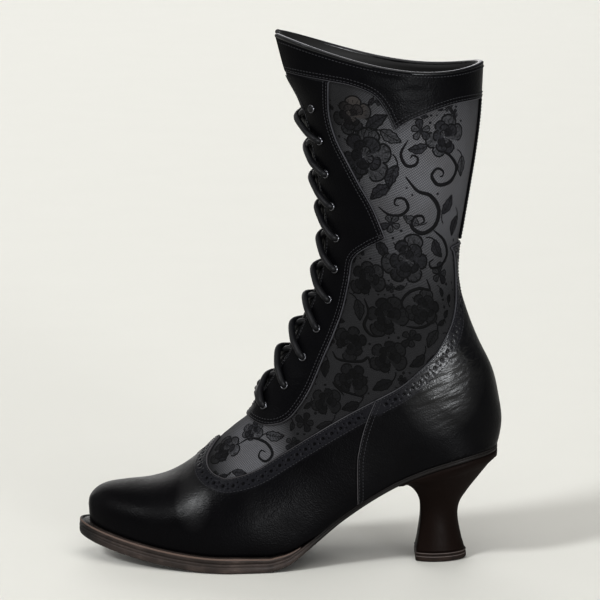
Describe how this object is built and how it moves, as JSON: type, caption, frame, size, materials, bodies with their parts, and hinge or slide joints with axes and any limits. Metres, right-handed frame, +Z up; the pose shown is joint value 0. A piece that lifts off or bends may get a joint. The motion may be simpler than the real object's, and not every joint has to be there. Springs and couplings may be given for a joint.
{
  "type": "lace-up boot",
  "caption": "Mid-calf lace-up boot with a waisted heel, soft pointed toe, floral lace panels, leather foxing with a punched edge, and a cord lacing over a tongue; the left boot, standing empty",
  "frame": {"origin": "middle of the boot's box, on the floor under it", "axes": "+Z up, +X from toe to heel, -Y to the outer side of the left foot"},
  "size_m": [0.2594, 0.0856, 0.3224],
  "materials": {
    "lace_cloth": "floral lace over net",
    "black_leather": "fine grain, satin",
    "tongue_leather": "fine grain, matt",
    "lining_leather": "smooth, matt",
    "sole_edge": "worn, matt",
    "heel_cover": "satin",
    "top_piece_rubber": "matt",
    "eyelet_metal": "dark nickel",
    "lace_cord": "waxed round braid"
  },
  "bodies": {
    "root": {"upper": "lace_cloth", "vamp": "black_leather", "counter": "black_leather", "eyestay": "black_leather", "cuff": "black_leather", "back_strip": "black_leather", "tongue": "tongue_leather", "insole": "lining_leather", "welt": "sole_edge", "outsole": "sole_edge", "heel": "heel_cover", "heel_top_piece": "top_piece_rubber", "eyelet_outer_01": "eyelet_metal", "eyelet_outer_02": "eyelet_metal", "eyelet_outer_03": "eyelet_metal", "eyelet_outer_04": "eyelet_metal", "eyelet_outer_05": "eyelet_metal", "eyelet_outer_06": "eyelet_metal", "eyelet_outer_07": "eyelet_metal", "eyelet_outer_08": "eyelet_metal", "eyelet_outer_09": "eyelet_metal", "eyelet_outer_10": "eyelet_metal", "eyelet_outer_11": "eyelet_metal", "eyelet_inner_01": "eyelet_metal", "eyelet_inner_02": "eyelet_metal", "eyelet_inner_03": "eyelet_metal", "eyelet_inner_04": "eyelet_metal", "eyelet_inner_05": "eyelet_metal", "eyelet_inner_06": "eyelet_metal", "eyelet_inner_07": "eyelet_metal", "eyelet_inner_08": "eyelet_metal", "eyelet_inner_09": "eyelet_metal", "eyelet_inner_10": "eyelet_metal", "eyelet_inner_11": "eyelet_metal", "lace_bar": "lace_cord", "lace_crossing_01": "lace_cord", "lace_crossing_02": "lace_cord", "lace_crossing_03": "lace_cord", "lace_crossing_04": "lace_cord", "lace_crossing_05": "lace_cord", "lace_crossing_06": "lace_cord", "lace_crossing_07": "lace_cord", "lace_crossing_08": "lace_cord", "lace_crossing_09": "lace_cord", "lace_crossing_10": "lace_cord"}
  },
  "joints": []
}
